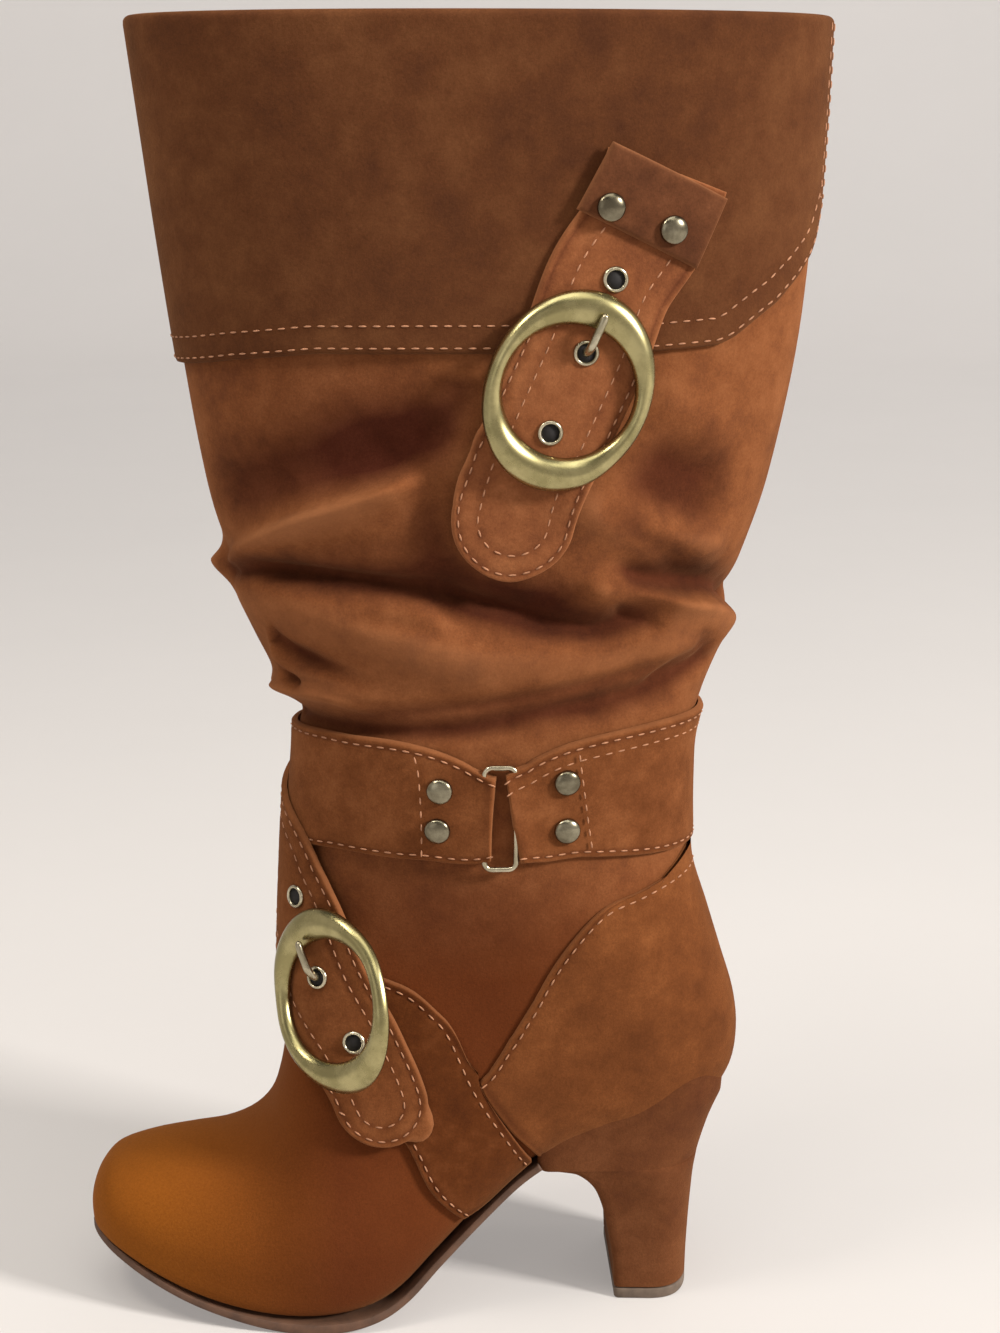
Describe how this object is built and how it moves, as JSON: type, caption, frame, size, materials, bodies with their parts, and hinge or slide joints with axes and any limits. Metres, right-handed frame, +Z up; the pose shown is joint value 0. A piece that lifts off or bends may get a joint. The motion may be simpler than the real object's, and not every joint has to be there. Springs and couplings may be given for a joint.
{
  "type": "knee-high boot",
  "caption": "Knee-high slouch boot with a turned-down cuff, cinched ankle belt, oval ring buckles on straps and a block heel.",
  "frame": {"origin": "bottom centre of the boot's bounding box, on the floor that heel and forefoot stand on", "axes": "+Z up the shaft, -X towards the toe, -Y towards the outer side of the left foot"},
  "size_m": [0.2494, 0.1238, 0.435],
  "materials": {
    "suede": "napped suede, matt",
    "suede_dark": "napped suede, matt, a little darker",
    "strap_suede": "napped suede, matt, a little paler",
    "lining": "matt woven lining",
    "sole": "matt light tan",
    "top_lift": "matt grey-tan",
    "brass": "antique, satin",
    "stud_metal": "dark antique, polished",
    "nickel": "warm nickel, satin"
  },
  "bodies": {
    "root": {"upper": "suede", "outsole": "sole", "insole": "lining", "heel_block": "suede", "heel_top_lift": "top_lift", "heel_counter": "suede_dark", "cuff": "suede_dark", "cuff_strap": "strap_suede", "cuff_strap_fold": "strap_suede", "instep_strap": "strap_suede", "shank_strap": "strap_suede", "ankle_belt": "strap_suede", "ankle_ring": "nickel", "cuff_ring": "brass", "instep_ring": "brass", "cuff_prong": "nickel", "instep_prong": "nickel", "cuff_eyelet_1": "nickel", "cuff_eyelet_2": "nickel", "cuff_eyelet_3": "nickel", "instep_eyelet_1": "nickel", "instep_eyelet_2": "nickel", "instep_eyelet_3": "nickel", "cuff_stud_1": "stud_metal", "cuff_stud_2": "stud_metal", "ankle_stud_1": "stud_metal", "ankle_stud_2": "stud_metal", "ankle_stud_3": "stud_metal", "ankle_stud_4": "stud_metal"}
  },
  "joints": []
}
